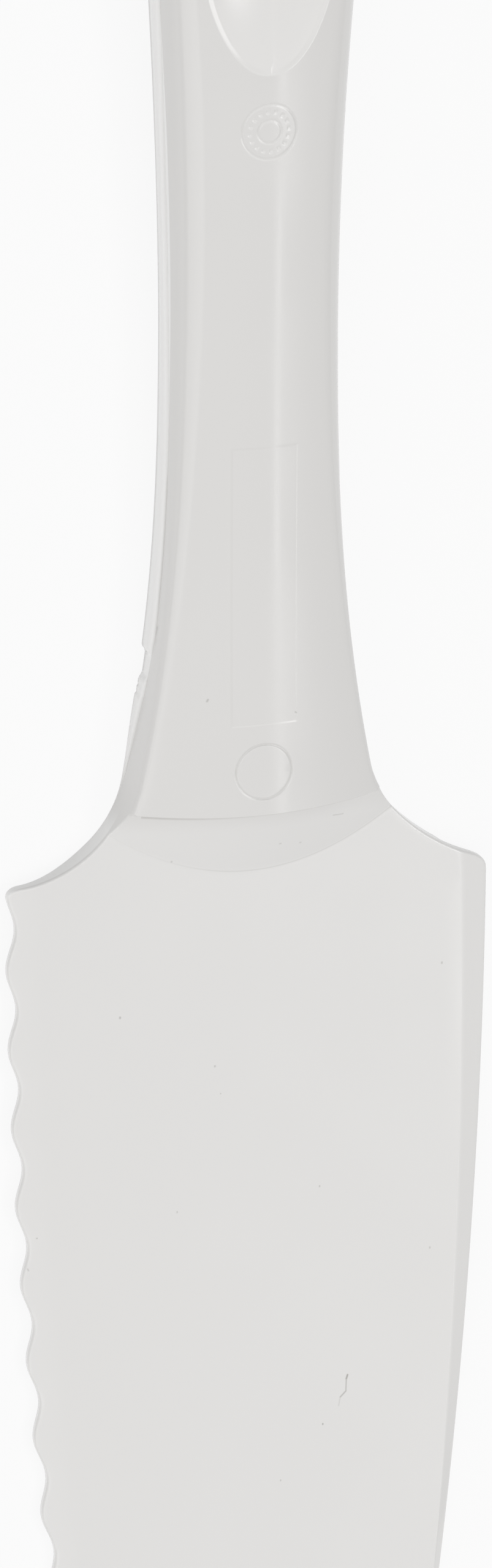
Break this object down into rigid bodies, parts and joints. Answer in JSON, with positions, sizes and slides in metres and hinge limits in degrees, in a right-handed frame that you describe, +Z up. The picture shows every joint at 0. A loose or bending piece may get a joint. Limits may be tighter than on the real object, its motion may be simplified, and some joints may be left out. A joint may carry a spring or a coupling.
{
  "type": "cake spatula",
  "caption": "One-piece moulded cake spatula: flat tapering blade with one scalloped edge, raised neck, and a hollow handle with a dished end and a hanging hole.",
  "frame": {"origin": "middle of the bottom of the box around the spatula as it lies, blade tip and neck rim on the table", "axes": "+X across to the bevelled side, +Y from the blade's tip to the handle's end, +Z up from the table"},
  "size_m": [0.0588, 0.2636, 0.0165],
  "materials": {
    "white_plastic": "smooth glossy white moulding"
  },
  "bodies": {
    "root": {"cake_spatula": "white_plastic"}
  },
  "joints": []
}
